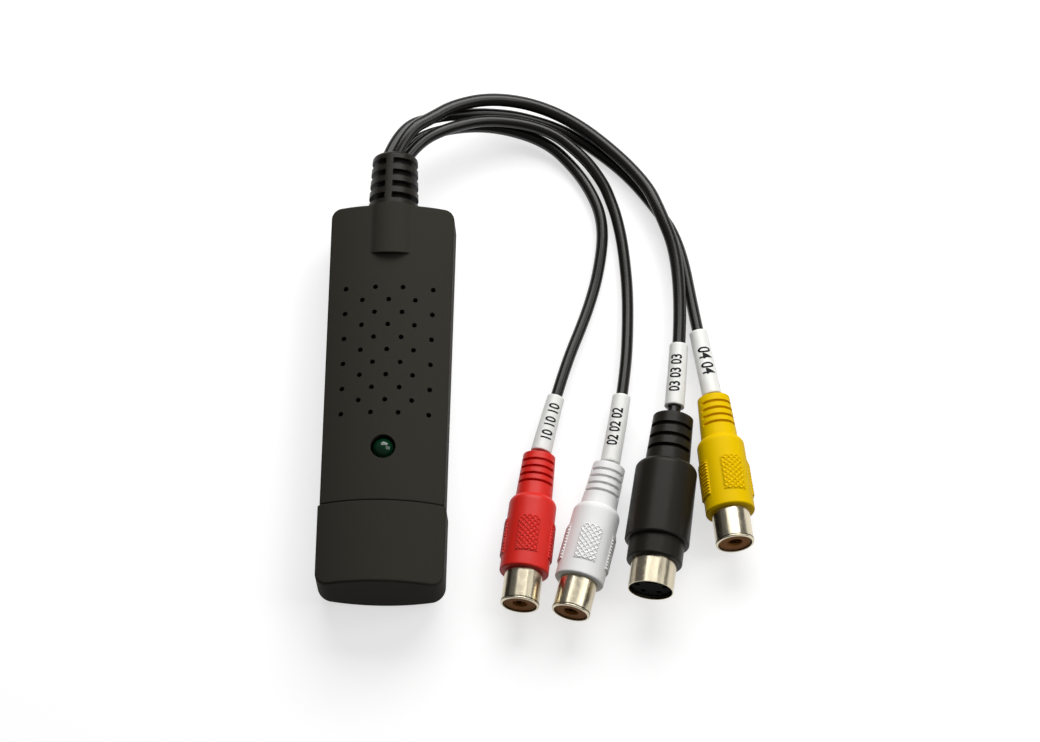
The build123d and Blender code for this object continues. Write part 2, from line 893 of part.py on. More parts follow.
def strain_relief():
    """Moulded sleeve round the cords, held in the rear wall by its neck and flange."""
    tip_y = relief_length
    outline = [(0, 0), (hump_radius, 0), (relief_tip_radius, tip_y), (0, tip_y)]
    sleeve = spin_y(outline, [((relief_tip_radius, tip_y), relief_tip_round)])
    cuts = slit_rings(
        relief_core_radius,
        hump_radius + overrun,
        relief_slot_width,
        relief_slot_start,
        relief_slot_pitch,
        relief_slots,
        relief_bar_width,
    )
    sleeve -= [Rot(0, relief_roll, 0) * cut for cut in cuts]
    sleeve = Pos(0, shoulder_y, cable_z) * sleeve
    flange_rear_y = cavity_rear_y - flange_gap
    flange_front_y = flange_rear_y - flange_thickness
    neck = along_y(neck_section(0), flange_rear_y, shoulder_y)
    plate = Pos(0, (flange_low + flange_high) / 2) * Rectangle(flange_width, flange_high - flange_low)
    flange = along_y(
        plate + Pos(0, cable_z) * Circle(flange_round_radius), flange_front_y, flange_rear_y
    )
    tail = along_y(Pos(0, cable_z) * Circle(tail_radius), flange_front_y - tail_length, flange_front_y)
    tail = chamfer(tail.edges().sort_by(Axis.Y)[0], tail_chamfer)
    return sleeve + neck + flange + tail


def signal_leads():
    """Thin insulated leads from the tail down to the board's rear edge."""
    start_y = cavity_rear_y - flange_gap - flange_thickness - tail_length
    end_y = board_rear_y - lead_landing
    leads = []
    for place in range(lead_count):
        x = (place - (lead_count - 1) / 2) * lead_pitch
        points = [(x, start_y, cable_z), (x, end_y, cable_z), (x, end_y, board_top)]
        path = FilletPolyline(*points, radius=lead_bend)
        section = Plane(origin=points[0], z_dir=(0, -1, 0)) * Circle(lead_diameter / 2)
        leads.append(sweep(section, path=path))
    return Compound(children=leads)


# Jacks: each piece is drawn with its mouth at y = 0 and its cord end towards +Y


def boot_outline(front_y, grip, grip_radii, shoulder, neck, neck_radii):
    """Outer surface of a moulded boot, from its front face to its cord end."""
    front_radius, rear_radius = grip_radii
    root_radius, tip_radius = neck_radii
    rear_y = front_y + grip
    root_y = rear_y + shoulder
    tip_y = root_y + neck
    front = Line((0, front_y), (front_radius, front_y))
    side = Line((front_radius, front_y), (rear_radius, rear_y))
    turn = TangentArc((rear_radius, rear_y), (root_radius, root_y), tangent=side % 1)
    stem = Line((root_radius, root_y), (tip_radius, tip_y))
    end = Line((tip_radius, tip_y), (0, tip_y))
    axis = Line((0, tip_y), (0, front_y))
    face = make_face([front, side, turn, stem, end, axis])
    corner = face.vertices().sort_by_distance(Vector(front_radius, front_y))[0]
    return fillet(corner, grip_edge_round)


def cord_entry(tip_y, cord_diameter):
    """Blind hole that the cord enters."""
    radius = cord_diameter / 2 + entry_clearance
    hole = Rot(90, 0, 0) * Cylinder(radius, 2 * entry_depth)
    return Pos(0, tip_y, 0) * hole


def grip_pads():
    """Raised pads round the grip, each a sector with two corners cut."""
    start_y = barrel_reach + pad_front_margin
    end_y = barrel_reach + phono_grip_length - pad_rear_margin
    half = pad_width / 2
    outline = Polyline(
        (-half, start_y),
        (half, start_y),
        (half, end_y - pad_corner_cut),
        (half - pad_corner_cut, end_y),
        (pad_corner_cut - half, end_y),
        (-half, end_y - pad_corner_cut),
        close=True,
    )
    sector = extrude(make_face(outline), amount=2 * phono_grip_front_radius)
    front_y = barrel_reach
    rear_y = barrel_reach + phono_grip_length
    skin = [
        (0, front_y),
        (phono_grip_front_radius + pad_rise, front_y),
        (phono_grip_rear_radius + pad_rise, rear_y),
        (0, rear_y),
    ]
    skin = spin_y(skin)
    turn = 360 / pad_count
    return [(Rot(0, place * turn, 0) * sector) & skin for place in range(pad_count)]


def phono_boot():
    outline = boot_outline(
        barrel_reach,
        phono_grip_length,
        (phono_grip_front_radius, phono_grip_rear_radius),
        phono_shoulder,
        phono_neck_length,
        (phono_neck_root_radius, phono_neck_tip_radius),
    )
    boot = revolve(outline, Axis.Y) + grip_pads()
    tip_y = barrel_reach + phono_grip_length + phono_shoulder + phono_neck_length
    slits = slit_rings(
        phono_neck_tip_radius - slit_depth,
        phono_neck_root_radius + overrun,
        slit_width,
        slit_start,
        slit_pitch,
        slit_count,
        slit_bar_width,
    )
    for slit in slits:
        boot -= Pos(0, tip_y, 0) * Rot(0, 90, 0) * Rot(180, 0, 0) * slit
    boot -= cord_entry(tip_y, phono_cord_diameter)
    socket_depth = barrel_reach + barrel_depth + barrel_rear_gap
    socket_radius = barrel_root_radius + barrel_clearance
    boot -= spin_y([(0, 0), (socket_radius, 0), (socket_radius, socket_depth), (0, socket_depth)])
    return boot


def phono_barrel():
    inner = barrel_radius - barrel_wall
    shoulder = barrel_reach - barrel_shoulder_gap
    length = barrel_reach + barrel_depth
    outline = [
        (inner, 0),
        (barrel_radius, 0),
        (barrel_radius, shoulder),
        (barrel_root_radius, shoulder),
        (barrel_root_radius, length),
        (inner, length),
    ]
    return spin_y(outline, [((barrel_radius, 0), barrel_rim_round)])


def phono_insulator():
    front = insulator_setback
    rear = front + insulator_length
    step = front + insulator_face
    seat = centre_hole_radius + centre_tube_wall + centre_tube_clearance
    outline = [
        (centre_hole_radius, front),
        (insulator_radius, front),
        (insulator_radius, rear),
        (seat, rear),
        (seat, step),
        (centre_hole_radius, step),
    ]
    return spin_y(outline)


def phono_contact():
    front = insulator_setback + insulator_face
    rear = front + centre_tube_length
    outer = centre_hole_radius + centre_tube_wall
    outline = [
        (centre_hole_radius, front),
        (outer, front),
        (outer, rear),
        (0, rear),
        (0, rear - centre_tube_back),
        (centre_hole_radius, rear - centre_tube_back),
    ]
    return spin_y(outline)


def svideo_boot():
    grip_y = shell_reach + svideo_collar_length
    outline = boot_outline(
        grip_y,
        svideo_grip_length,
        (svideo_grip_front_radius, svideo_grip_rear_radius),
        svideo_shoulder,
        svideo_neck_length,
        (svideo_neck_root_radius, svideo_neck_tip_radius),
    )
    boot = revolve(outline, Axis.Y)
    collar = [
        (0, shell_reach),
        (svideo_collar_radius, shell_reach),
        (svideo_collar_radius, grip_y + overrun),
        (0, grip_y + overrun),
    ]
    boot += spin_y(collar, [((svideo_collar_radius, shell_reach), grip_edge_round)])
    tip_y = grip_y + svideo_grip_length + svideo_shoulder + svideo_neck_length
    grooves = slit_rings(
        svideo_neck_tip_radius - groove_depth,
        svideo_neck_root_radius + overrun,
        groove_width,
        groove_start,
        groove_pitch,
        groove_count,
        slit_bar_width,
    )
    for groove in grooves:
        boot -= Pos(0, tip_y, 0) * Rot(0, 90, 0) * Rot(180, 0, 0) * groove
    boot -= cord_entry(tip_y, svideo_cord_diameter)
    depth = svideo_insert_setback + svideo_insert_length
    socket_depth = max(depth, shell_reach + shell_depth) + barrel_rear_gap
    socket_radius = shell_radius + shell_clearance
    boot -= spin_y([(0, 0), (socket_radius, 0), (socket_radius, socket_depth), (0, socket_depth)])
    return boot


def svideo_shell():
    inner = shell_radius - shell_wall
    length = shell_reach + shell_depth
    return spin_y([(inner, 0), (shell_radius, 0), (shell_radius, length), (inner, length)])


def svideo_pin_places():
    return [(x * svideo_insert_radius, z * svideo_insert_radius) for x, z in svideo_pin_shares]


def svideo_insert():
    """Plastic core with a wider base, four contact holes and the keyway."""
    front = svideo_insert_setback
    rear = front + svideo_insert_length
    base_radius = shell_radius - shell_wall - svideo_base_clearance
    base_y = rear - svideo_base_length
    core = spin_y(
        [
            (0, front),
            (svideo_insert_radius, front),
            (svideo_insert_radius, base_y),
            (base_radius, base_y),
            (base_radius, rear),
            (0, rear),
        ]
    )
    seat = svideo_tube_radius + centre_tube_clearance
    for x, z in svideo_pin_places():
        hole = Rot(90, 0, 0) * Cylinder(svideo_pin_hole_radius, 2 * svideo_face)
        well_length = svideo_insert_length - svideo_face + overrun
        well = Rot(90, 0, 0) * Cylinder(seat, well_length)
        core -= Pos(x, front, z) * hole
        core -= Pos(x, front + svideo_face + well_length / 2, z) * well
    key_span = (key_rise - key_height / 2, key_rise + key_height / 2)
    core -= block((-key_width / 2, key_width / 2), (front - overrun, base_y), key_span)
    return core


def svideo_contacts():
    tubes = []
    front = svideo_insert_setback + svideo_face
    tube = spin_y(
        [
            (svideo_tube_bore, front),
            (svideo_tube_radius, front),
            (svideo_tube_radius, front + svideo_tube_length),
            (svideo_tube_bore, front + svideo_tube_length),
        ]
    )
    for x, z in svideo_pin_places():
        tubes.append(Pos(x, 0, z) * tube)
    return Compound(children=tubes)


def jack_place(mouth, yaw, tilt, roll, rest_radius, rest_y):
    """Lays a jack on the table with its mouth raised by the tilt."""
    angle = math.radians(tilt)
    height = rest_radius * math.cos(angle) + rest_y * math.sin(angle) + rest_clearance
    turn = Rot(0, 0, yaw) * Rot(-tilt, 0, 0) * Rot(0, roll, 0)
    return Pos(mouth[0], mouth[1], height) * turn


def phono_place(mouth, yaw, tilt, roll):
    rest_y = barrel_reach + phono_grip_length - pad_rear_margin
    slope = (phono_grip_front_radius - phono_grip_rear_radius) / phono_grip_length
    rest_radius = phono_grip_rear_radius + slope * pad_rear_margin + pad_rise + knurl_rise
    return jack_place(mouth, yaw, tilt, roll, rest_radius, rest_y)


def svideo_place():
    rest_y = shell_reach + svideo_collar_length + svideo_grip_length
    return jack_place(
        svideo_mouth, svideo_yaw, svideo_tilt, svideo_roll, svideo_grip_rear_radius, rest_y
    )


# Cords and sleeves


def corner_radii(route):
    """Radius at each inner point of a route: as large as its two runs allow."""
    points = [Vector(*place) for place in route]
    radii = []
    for before, corner, after in zip(points, points[1:], points[2:]):
        turn = math.radians((corner - before).get_angle(after - corner))
        run = min((corner - before).length, (after - corner).length)
        radii.append(corner_share * run / math.tan(turn / 2))
    return radii


def cord(node, route, diameter):
    radii = corner_radii(route)
    path = FilletPolyline(*route, radius=radii)
    start = Vector(*route[0])
    section = Plane(origin=start, z_dir=Vector(*route[1]) - start) * Circle(diameter / 2)
    tube = sweep(section, path=path)
    expected = path.length * math.pi * diameter**2 / 4
    print(
        node,
        "length",
        round(path.length, 1),
        "radii",
        [round(radius, 1) for radius in radii],
        "volume over section times length",
        round(tube.volume / expected, 4),
    )
    save(tube, node)


def sleeve(route, diameter, boot_tip, gap, length, boot_radius, far_radius):
    """Tapered tube on a cord's last run, a gap away from the boot."""
    end = Vector(*route[-1])
    back = (Vector(*route[-2]) - end).normalized()
    start = end + back * ((boot_tip - end).dot(back) + gap)
    bore = diameter / 2 + sleeve_clearance
    outline = [(bore, 0), (boot_radius, 0), (far_radius, length), (bore, length)]
    upright = Rot(90, 0, 0) * spin_y(outline)
    return Plane(origin=start, z_dir=back).location * upright


save(cap(), "cap")
save(top_shell(), "top_shell")
save(bottom_shell(), "bottom_shell")
save(usb_shield(), "usb_shield")
save(usb_tongue(), "usb_tongue")
save(usb_contacts(), "usb_contacts")
save(circuit_board(), "circuit_board")
save(on_board(bridge_share, flat_chip(bridge_size, bridge_legs)), "usb_bridge")
save(on_board(decoder_share, flat_chip(decoder_size, decoder_legs)), "video_decoder")
save(on_board(codec_share, flat_chip(codec_size, codec_legs)), "audio_codec")
save(crystal(), "crystal")
save(regulator(), "regulator")
save(capacitors(), "capacitors")
save(status_led(), "status_led")
save(led_leads(), "led_leads")
save(strain_relief(), "strain_relief")
save(signal_leads(), "signal_leads")

phono_pieces = {
    "boot": phono_boot(),
    "barrel": phono_barrel(),
    "insulator": phono_insulator(),
    "contact": phono_contact(),
}
phono_length = barrel_reach + phono_grip_length + phono_shoulder + phono_neck_length
phono_jacks = {
    "red": (
        phono_place(red_mouth, red_yaw, flat_tilt, red_roll),
        red_route,
        (red_sleeve_gap, red_sleeve_length, red_sleeve_boot_radius, red_sleeve_far_radius),
    ),
    "white": (
        phono_place(white_mouth, white_yaw, flat_tilt, white_roll),
        white_route,
        (sleeve_gap, white_sleeve_length, sleeve_boot_radius, sleeve_far_radius),
    ),
    "yellow": (
        phono_place(yellow_mouth, yellow_yaw, yellow_tilt, yellow_roll),
        yellow_route,
        (sleeve_gap, yellow_sleeve_length, sleeve_boot_radius, sleeve_far_radius),
    ),
}
for colour, (place, route, sleeve_sizes) in phono_jacks.items():
    for piece, solid in phono_pieces.items():
        save(place * solid, f"{colour}_{piece}")
    cord(f"cord_{colour}", route, phono_cord_diameter)
    boot_tip = (place * Pos(0, phono_length, 0)).position
    save(sleeve(route, phono_cord_diameter, boot_tip, *sleeve_sizes), f"sleeve_{colour}")

svideo_pieces = {
    "boot": svideo_boot(),
    "shell": svideo_shell(),
    "insert": svideo_insert(),
    "contacts": svideo_contacts(),
}
for piece, solid in svideo_pieces.items():
    save(svideo_place() * solid, f"svideo_{piece}")
cord("cord_svideo", svideo_route, svideo_cord_diameter)
svideo_grip_end = shell_reach + svideo_collar_length + svideo_grip_length
svideo_length = svideo_grip_end + svideo_shoulder + svideo_neck_length
svideo_tip = (svideo_place() * Pos(0, svideo_length, 0)).position
save(
    sleeve(
        svideo_route,
        svideo_cord_diameter,
        svideo_tip,
        svideo_sleeve_gap,
        sleeve_length,
        sleeve_boot_radius,
        svideo_sleeve_far_radius,
    ),
    "sleeve_svideo",
)
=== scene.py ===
import json
import math

import bmesh
import bpy
from mathutils import Matrix, Vector


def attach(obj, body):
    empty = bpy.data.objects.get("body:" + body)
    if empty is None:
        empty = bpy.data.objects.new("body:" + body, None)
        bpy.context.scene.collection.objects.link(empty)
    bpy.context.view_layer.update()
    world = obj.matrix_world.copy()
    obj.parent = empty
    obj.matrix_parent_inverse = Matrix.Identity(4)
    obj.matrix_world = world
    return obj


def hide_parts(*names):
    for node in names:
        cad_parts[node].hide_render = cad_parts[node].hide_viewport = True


# Looks of the video capture box. Sizes of the object are in millimetres here and are turned into metres where
# they are used. Those of the floor and the lamps are in metres.

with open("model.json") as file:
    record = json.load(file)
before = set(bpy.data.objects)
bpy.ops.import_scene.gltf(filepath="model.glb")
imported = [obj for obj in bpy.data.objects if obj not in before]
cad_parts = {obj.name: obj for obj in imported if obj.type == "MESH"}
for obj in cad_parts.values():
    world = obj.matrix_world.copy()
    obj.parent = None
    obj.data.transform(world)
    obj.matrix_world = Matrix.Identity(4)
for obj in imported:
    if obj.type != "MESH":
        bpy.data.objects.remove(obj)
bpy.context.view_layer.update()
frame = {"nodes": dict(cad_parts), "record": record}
nodes = frame["nodes"]
scene = bpy.context.scene
MM = 0.001
UP = Vector((0, 0, 1))


# Camera

SENSOR_WIDTH = 36
LENS_LENGTH = 203.807
CLIP_NEAR, CLIP_FAR = 0.1, 10  # in metres
CAMERA_PLACE = (92.519, -474.043, 1208.875)
CAMERA_RIGHT = (0.99873, 0.02814, -0.04177)
CAMERA_UP = (-0.01075, 0.92940, 0.36892)
CAMERA_BACK = (0.04921, -0.36800, 0.92852)


def add_camera():
    data = bpy.data.cameras.new("camera")
    data.sensor_width = SENSOR_WIDTH
    data.lens = LENS_LENGTH
    data.clip_start, data.clip_end = CLIP_NEAR, CLIP_FAR
    camera = bpy.data.objects.new("camera", data)
    turn = Matrix((CAMERA_RIGHT, CAMERA_UP, CAMERA_BACK)).transposed()
    camera.matrix_world = Matrix.Translation(Vector(CAMERA_PLACE) * MM) @ turn.to_4x4()
    scene.collection.objects.link(camera)
    scene.camera = camera


add_camera()
scene.view_settings.view_transform = "Standard"


# Finishes: one material for each of the record's slots

PLASTICS = {
    # slot: colour, roughness, specular level, then size and depth of the moulded grain
    "case_plastic": ((0.034, 0.0318, 0.0257), 0.56, 0.015, 0.25, 0.006),
    "tongue_plastic": ((0.02, 0.02, 0.02), 0.4, 0.5, 0.15, 0.003),
    "board_green": ((0.01, 0.12, 0.04), 0.35, 0.5, 0.4, 0.01),
    "chip_black": ((0.02, 0.02, 0.021), 0.5, 0.5, 0.08, 0.004),
    "soft_black": ((0.015, 0.013, 0.0095), 0.34, 0.14, 0.3, 0.03),
    "lead_grey": ((0.2, 0.2, 0.2), 0.5, 0.5, 0.2, 0.004),
    "cord_black": ((0.0085, 0.0078, 0.0065), 0.24, 0.34, 0.5, 0.004),
    "soft_red": ((0.68, 0.018, 0.011), 0.42, 0.3, 0.22, 0.004),
    "soft_white": ((0.82, 0.82, 0.81), 0.42, 0.3, 0.22, 0.004),
    "soft_yellow": ((0.78, 0.51, 0.0), 0.45, 0.04, 0.22, 0.004),
    "sleeve_white": ((0.78, 0.78, 0.75), 0.3, 0.4, 0.6, 0.006),
    "insulator_brown": ((0.36, 0.14, 0.03), 0.5, 0.08, 0.15, 0.004),
    "insert_black": ((0.009, 0.009, 0.009), 0.7, 0.04, 0.15, 0.004),
}
METALS = {
    # slot: colour, size of the duller patches, then least and most roughness
    "shield_steel": ((0.7, 0.69, 0.67), 1.2, 0.2, 0.3),
    "gold": ((0.83, 0.6, 0.25), 0.8, 0.2, 0.3),
    "can_metal": ((0.75, 0.75, 0.76), 0.8, 0.25, 0.35),
    "tinned_lead": ((0.75, 0.74, 0.72), 0.4, 0.25, 0.38),
    "nickel": ((0.66, 0.59, 0.44), 1.5, 0.2, 0.28),
}
GRAIN_DETAIL = 2.0
PATCH_DETAIL = 3.0
PATCH_RANGE = (0.3, 0.7)  # of the noise, spread over the roughness from least to most


def new_material(name):
    material = bpy.data.materials.new(name)
    material.use_nodes = True
    return material, material.node_tree, material.node_tree.nodes["Principled BSDF"]


def add_noise(tree, size, detail):
    """Soft noise all through the object, with spots of a size in millimetres."""
    place = tree.nodes.new("ShaderNodeTexCoord")
    noise = tree.nodes.new("ShaderNodeTexNoise")
    noise.inputs["Scale"].default_value = 1 / (size * MM)
    noise.inputs["Detail"].default_value = detail
    tree.links.new(place.outputs["Object"], noise.inputs["Vector"])
    return noise.outputs["Fac"]


def plain(name, colour, roughness, specular=0.5):
    material, tree, shader = new_material(name)
    shader.inputs["Base Color"].default_value = (*colour, 1)
    shader.inputs["Roughness"].default_value = roughness
    shader.inputs["Specular IOR Level"].default_value = specular
    return material, tree, shader


def plastic(name, colour, roughness, specular, size, depth):
    """Moulded plastic with a fine grain."""
    material, tree, shader = plain(name, colour, roughness, specular)
    bump = tree.nodes.new("ShaderNodeBump")
    bump.inputs["Distance"].default_value = depth * MM
    bump.inputs["Strength"].default_value = 1.0
    tree.links.new(add_noise(tree, size, GRAIN_DETAIL), bump.inputs["Height"])
    tree.links.new(bump.outputs["Normal"], shader.inputs["Normal"])
    return material


def metal(name, colour, size, least, most):
    """Polished metal that is a little duller in soft patches."""
    material, tree, shader = plain(name, colour, (least + most) / 2)
    shader.inputs["Metallic"].default_value = 1.0
    patches = tree.nodes.new("ShaderNodeMapRange")
    limits = {"From Min": PATCH_RANGE[0], "From Max": PATCH_RANGE[1], "To Min": least, "To Max": most}
    for limit, value in limits.items():
        patches.inputs[limit].default_value = value
    tree.links.new(add_noise(tree, size, PATCH_DETAIL), patches.inputs["Value"])
    tree.links.new(patches.outputs["Result"], shader.inputs["Roughness"])
    return material


def clear_green():
    """Tinted clear plastic of the status light."""
    material, tree, shader = plain("light_green", (0.001, 0.036, 0.012), 0.06)
    shader.inputs["Transmission Weight"].default_value = 0.35
    shader.inputs["IOR"].default_value = 1.5
    return material


FINISHES = {"light_green": clear_green()}
for slot, values in PLASTICS.items():
    FINISHES[slot] = plastic(slot, *values)
for slot, values in METALS.items():
    FINISHES[slot] = metal(slot, *values)
INK = plain("print_black", (0.006, 0.006, 0.006), 0.6, 0.2)[0]
# Dark colour of the rings that paint the shade behind each barrel's rim and inside each mouth
PAINTED_SHADE = plain("painted_shade", (0.03, 0.022, 0.015), 0.6, 0.2)[0]

for part in frame["record"]["subparts"]:
    mesh = nodes[part["node"]].data
    mesh.materials.clear()
    mesh.materials.append(FINISHES[part["material_slot"]])


# Pieces and their faces


def link_piece(name, data, material):
    data.materials.append(material)
    piece = bpy.data.objects.new(name, data)
    scene.collection.objects.link(piece)
    return piece


def link_mesh(name, vertices, faces, material, smooth=True):
    mesh = bpy.data.meshes.new(name)
    mesh.from_pydata([tuple(vertex) for vertex in vertices], [], faces)
    if smooth:
        mesh.shade_smooth()
    mesh.update()
    return link_piece(name, mesh, material)


def ring_strip(rings, around):
    """Faces that join each ring of points to the next and the last to the first."""
    faces = []
    for ring in range(rings):
        start = ring * around
        following = (ring + 1) % rings * around
        for step in range(around):
            turn = (step + 1) % around
            faces.append((start + step, start + turn, following + turn, following + step))
    return faces


# Cords: each follows the same points as its tube in the model

ROUTES = {
    "yellow": [
        (-2.1, 49.9, 12.4), (0.6, 58.4, 11.8), (8.7, 62.4, 9.2), (15.5, 63.7, 7.7), (20.3, 64.4, 6.4),
        (27.1, 64.5, 4.6), (37.4, 62.1, 2.4), (46.9, 55.6, 1.4), (52.1, 50.8, 1.4), (56.4, 45.6, 1.4),
        (63.1, 36.5, 1.4), (67.1, 16.3, 1.8), (71.4, -3.1, 3.9),
    ],
    "svideo": [
        (0.0, 49.9, 14.4), (2.6, 56.2, 15.2), (8.1, 60.6, 12.9), (12.5, 64.2, 11.2), (20.3, 67.1, 8.9),
        (29.9, 67.1, 6.0), (39.5, 63.3, 4.5), (48.9, 55.7, 4.3), (55.7, 48.2, 4.5), (58.6, 42.1, 4.9),
        (63.0, 31.4, 3.9), (64.0, 10.8, 4.2), (62.6, -9.1, 5.8),
    ],
    "white": [
        (2.1, 49.9, 12.4), (4.7, 54.5, 12.2), (11.5, 59.0, 10.9), (20.6, 62.3, 8.4), (33.3, 61.3, 5.6),
        (41.4, 55.4, 3.5), (45.9, 49.7, 2.0), (47.7, 45.5, 1.5), (49.2, 41.2, 1.4), (50.8, 33.8, 1.4),
        (52.2, 20.7, 1.5), (51.9, 0.2, 3.1), (48.8, -19.5, 4.5),
    ],
    "red": [
        (0.0, 49.9, 10.5), (1.8, 53.7, 9.6), (5.8, 57.8, 9.4), (14.9, 61.1, 7.0), (23.6, 61.6, 4.8),
        (33.1, 59.1, 2.8), (39.2, 53.6, 1.6), (43.3, 47.6, 1.4), (45.8, 41.3, 1.4), (46.1, 33.7, 1.4),
        (44.0, 21.1, 1.4), (37.3, 1.7, 3.1), (33.4, -17.9, 4.5),
    ],
}
DIAMETERS = {"yellow": 2.6, "svideo": 2.9, "white": 2.6, "red": 2.6}
ENTRY = 1.1  # length of cord inside the boot
CORD_ROUND_STEPS = 6
CORD_STEPS = 12  # along the cord, from one of its points to the next
LINE_STEPS = 40  # the same for the line that the sleeves and the print follow
RUN_WEIGHT = 2  # of a run's own direction, against those of the runs next to it


def add_cord(colour):
    data = bpy.data.curves.new(f"cord_{colour}_curve", "CURVE")
    data.dimensions = "3D"
    data.bevel_depth = DIAMETERS[colour] / 2 * MM
    data.bevel_resolution = CORD_ROUND_STEPS
    data.resolution_u = CORD_STEPS
    data.use_fill_caps = True
    route = ROUTES[colour]
    spline = data.splines.new("NURBS")
    spline.points.add(len(route) - 1)
    for point, place in zip(spline.points, route):
        point.co = (*[length * MM for length in place], 1)
    spline.order_u = 3
    spline.use_endpoint_u = True
    spline.use_smooth = True
    cord = link_piece(f"cord_{colour}_run", data, FINISHES["cord_black"])
    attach(cord, "dongle")
    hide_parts(f"cord_{colour}")
    return cord


def centreline(cord):
    """Points along the cord's own spline, from the strain relief to the boot."""
    bare = cord.data.copy()
    bare.bevel_depth = 0
    bare.use_fill_caps = False
    bare.resolution_u = LINE_STEPS
    copy = bpy.data.objects.new("bare_line", bare)
    mesh = bpy.data.meshes.new_from_object(copy)
    line = [vertex.co.copy() for vertex in mesh.vertices]
    bpy.data.objects.remove(copy)
    bpy.data.curves.remove(bare)
    bpy.data.meshes.remove(mesh)
    return line


class Line:
    """A line of points, with its middle, side and upward directions at each distance from its far end."""

    def __init__(self, points):
        self.points = points[::-1]
        self.reach = [0.0]
        for a, b in zip(self.points, self.points[1:]):
            self.reach.append(self.reach[-1] + (b - a).length)

    def at(self, distance):
        step = 0
        while step < len(self.reach) - 2 and self.reach[step + 1] < distance:
            step += 1
        a, b = self.points[step], self.points[step + 1]
        share = (distance - self.reach[step]) / (self.reach[step + 1] - self.reach[step])
        before = self.points[max(step - 1, 0)]
        after = self.points[min(step + 2, len(self.points) - 1)]
        along = (b - a).normalized() * RUN_WEIGHT + (b - before).normalized() * (1 - share)
        along = (along + (after - a).normalized() * share).normalized()
        side = along.cross(UP).normalized()
        return a.lerp(b, share), side, side.cross(along)


def point_about(place, radius, angle):
    """Point at a radius in millimetres and an angle about a place on a line."""
    middle, side, up = place
    return middle + radius * MM * (math.cos(angle) * side + math.sin(angle) * up)


# Sleeves on the cords

SLEEVES = {
    # gap to the boot, length, radius at the boot, radius at the far end
    "red": (1.0, 13.7, 2.3, 1.9),
    "white": (0.15, 16.4, 2.2, 2.0),
    "yellow": (0.15, 16.0, 2.2, 2.0),
    "svideo": (2.8, 15.0, 2.2, 2.05),
}
SLEEVE_PLAY = 0.02  # between the cord and the sleeve
SLEEVE_EDGE = 0.12
SLEEVE_AROUND = 48
SLEEVE_STEPS = 30
BORE_STEPS = 10


def sleeve_radius(colour, share):
    """Outer radius at a share of the sleeve's length from the boot."""
    boot_radius, far_radius = SLEEVES[colour][2:]
    return boot_radius + share * (far_radius - boot_radius)


def sleeve_section(colour):
    """Distances and radii round the sleeve's wall: its end at the boot, outside, far end and bore."""
    gap, length, boot_radius, far_radius = SLEEVES[colour]
    start = ENTRY + gap
    end = start + length
    bore = DIAMETERS[colour] / 2 + SLEEVE_PLAY
    edge = SLEEVE_EDGE
    section = [(start + edge / 3, bore), (start, bore + edge), (start, boot_radius - edge)]
    section += [(start + edge / 3, boot_radius - edge / 3), (start + edge, boot_radius)]
    for step in range(1, SLEEVE_STEPS):
        share = step / SLEEVE_STEPS
        section.append((start + share * length, sleeve_radius(colour, share)))
    section += [(end - edge, far_radius), (end - edge / 3, far_radius - edge / 3)]
    section += [(end, far_radius - edge), (end, bore + edge / 3)]
    section += [(end - step * length / BORE_STEPS, bore) for step in range(1, BORE_STEPS)]
    return section


def add_sleeve(colour, line):
    section = sleeve_section(colour)
    vertices = []
    for distance, radius in section:
        place = line.at(distance * MM)
        for step in range(SLEEVE_AROUND):
            vertices.append(point_about(place, radius, 2 * math.pi * step / SLEEVE_AROUND))
    faces = ring_strip(len(section), SLEEVE_AROUND)
    sleeve = link_mesh(f"sleeve_{colour}_tube", vertices, faces, FINISHES["sleeve_white"])
    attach(sleeve, "dongle")
    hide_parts(f"sleeve_{colour}")
    return sleeve


# Plain numbers printed along the sleeves

PRINTS = {
    # figures, size, angle of their middle about the cord in degrees, reading direction
    "red": ("01 01 01", 3.5, 80, -1),
    "white": ("02 02 02", 3.5, 95, 1),
    "svideo": ("03 03 03", 3.5, 95, 1),
    "yellow": ("04 04", 4.1, 85, -1),
}
PRINT_NARROW = 0.74  # width of the figures over their usual width
PRINT_WEIGHT = 0.08  # added to each side of a stroke
PRINT_THICKNESS = 0.02
PRINT_ROUND_STEPS = 4
PRINT_CUTS = 12  # above and below the middle, so that the figures bend round the sleeve
PRINT_CUT_HEIGHT = 0.2


def flat_digits(text, size):
    """Mesh of the digits, lying flat with its middle at the origin."""
    data = bpy.data.curves.new("digits", "FONT")
    data.body = text
    data.size = size
    data.align_x = "CENTER"
    data.align_y = "CENTER"
    data.extrude = PRINT_THICKNESS / 2
    data.offset = PRINT_WEIGHT
    data.resolution_u = PRINT_ROUND_STEPS
    holder = bpy.data.objects.new("digits", data)
    mesh = bpy.data.meshes.new_from_object(holder)
    bpy.data.objects.remove(holder)
    bpy.data.curves.remove(data)
    return mesh


